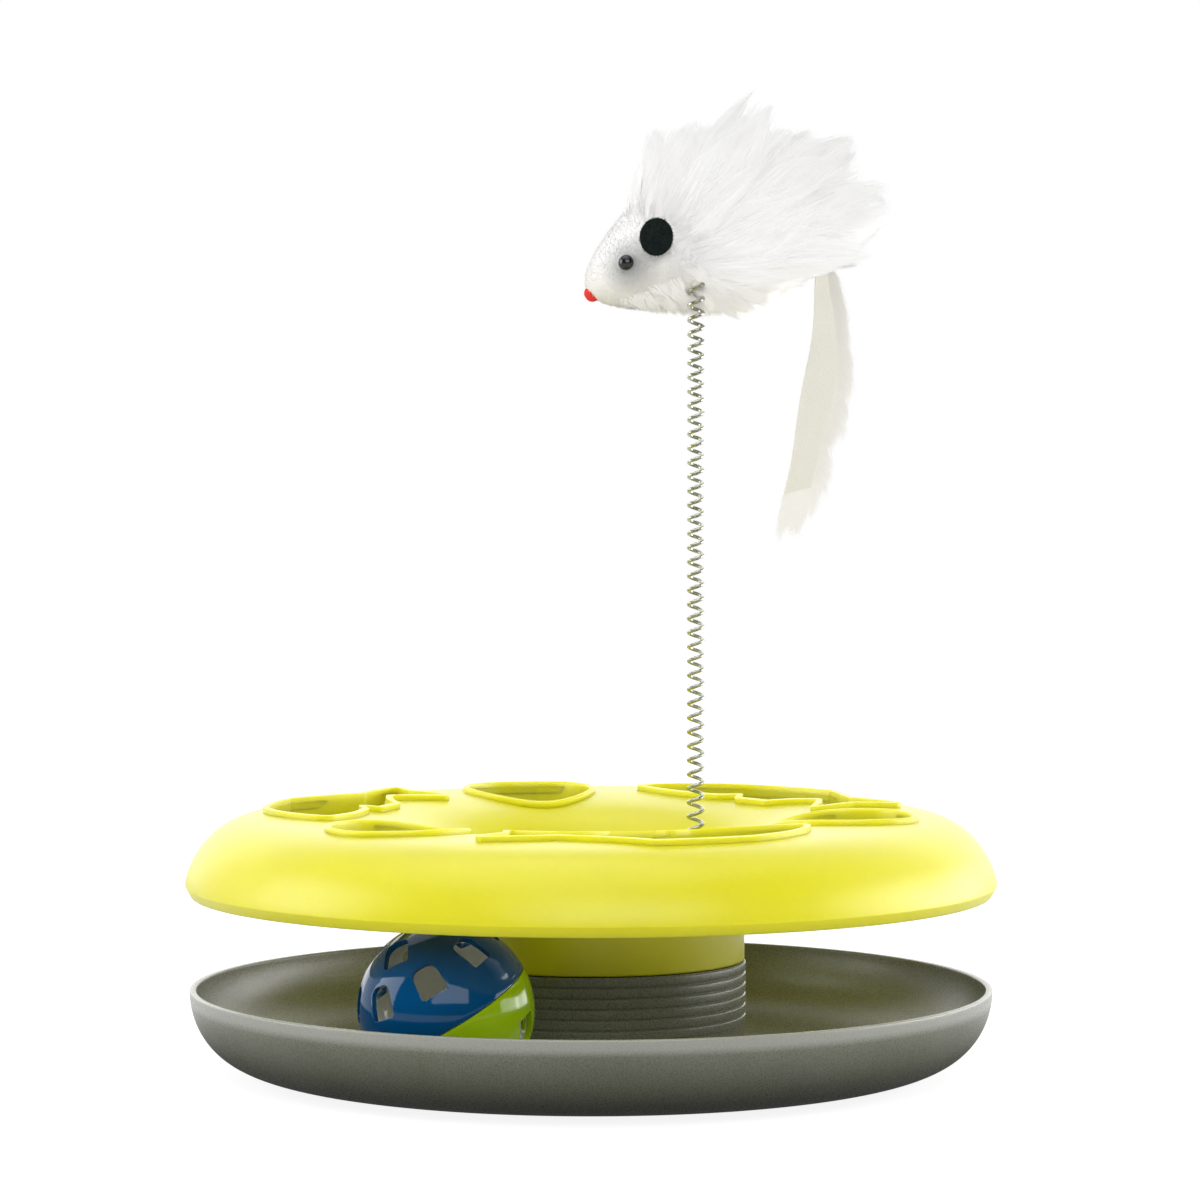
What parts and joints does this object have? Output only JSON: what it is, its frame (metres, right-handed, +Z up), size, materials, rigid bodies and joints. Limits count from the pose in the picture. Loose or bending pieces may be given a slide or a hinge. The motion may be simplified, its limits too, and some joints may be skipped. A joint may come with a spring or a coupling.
{
  "type": "cat ball track toy",
  "caption": "Round cat toy: a lattice ball rolls in a covered ring track with fish-shaped and round cut-outs, under a furry mouse that sways on a tall coil spring.",
  "frame": {"origin": "on the track's axis, at the floor under the feet", "axes": "+Z up along the track's axis, -Y to the front of the picture, the mouse faces -X"},
  "size_m": [0.24, 0.24, 0.2853],
  "materials": {
    "grey_plastic": "fine matte grain",
    "black_rubber": "matte",
    "yellow_plastic": "satin",
    "white_plastic": "satin",
    "spring_steel": "bright drawn wire",
    "white_fur": "long fur",
    "black_felt": "felt",
    "black_bead": "high gloss",
    "red_felt": "felt",
    "cream_pelt": "soft suede",
    "blue_plastic": "high gloss",
    "lime_plastic": "high gloss",
    "bell_brass": "bright",
    "pellet_steel": "plain"
  },
  "bodies": {
    "base": {"base_tray": "grey_plastic", "hub_post": "grey_plastic", "foot_1": "black_rubber", "foot_2": "black_rubber", "foot_3": "black_rubber", "foot_4": "black_rubber"},
    "cover": {"track_cover": "yellow_plastic", "spring_plug": "white_plastic"},
    "spring": {"spring": "spring_steel"},
    "mouse": {"mouse_core": "white_plastic", "mouse_body": "white_fur", "mouse_head": "white_fur", "ear_left": "black_felt", "ear_right": "black_felt", "eye_left": "black_bead", "eye_right": "black_bead", "nose": "red_felt"},
    "tail": {"tail_strip": "cream_pelt", "tail_fur": "white_fur"},
    "bell": {"bell_top": "bell_brass", "bell_bottom": "bell_brass", "bell_pellet": "pellet_steel"},
    "ball": {"ball_half_blue": "blue_plastic", "ball_half_lime": "lime_plastic"}
  },
  "joints": [
    {"name": "cover_lift", "type": "slide", "parent": "base", "child": "cover", "axis": [0, 0, 1], "range_m": [0, 0.06]},
    {"name": "spring_sway_side", "type": "hinge", "parent": "cover", "child": "spring", "pos_m": [0.031, 0, 0.07], "axis": [0, 1, 0], "range_deg": [-40, 40], "stiffness_Nm_per_rad": 0.6, "deforming": ["spring"]},
    {"name": "mouse_sway_front", "type": "hinge", "parent": "spring", "child": "mouse", "pos_m": [0.031, 0, 0.15], "axis": [1, 0, 0], "range_deg": [-35, 35], "stiffness_Nm_per_rad": 0.5, "deforming": ["spring"]},
    {"name": "tail_swing", "type": "hinge", "parent": "mouse", "child": "tail", "pos_m": [0.0685, 0.012, 0.23257], "axis": [1, 0, 0], "range_deg": [-35, 35], "stiffness_Nm_per_rad": 0.002},
    {"name": "ball_orbit", "type": "hinge", "parent": "base", "child": "bell", "pos_m": [0, 0, 0.0281], "axis": [0, 0, 1], "continuous": true},
    {"name": "ball_roll", "type": "hinge", "parent": "bell", "child": "ball", "pos_m": [-0.04083, -0.07129, 0.0281], "axis": [-0.497, -0.8678, 0], "continuous": true}
  ],
  "couplings": [
    {"joint": "ball_roll", "follows": "ball_orbit", "ratio": -3.286}
  ]
}
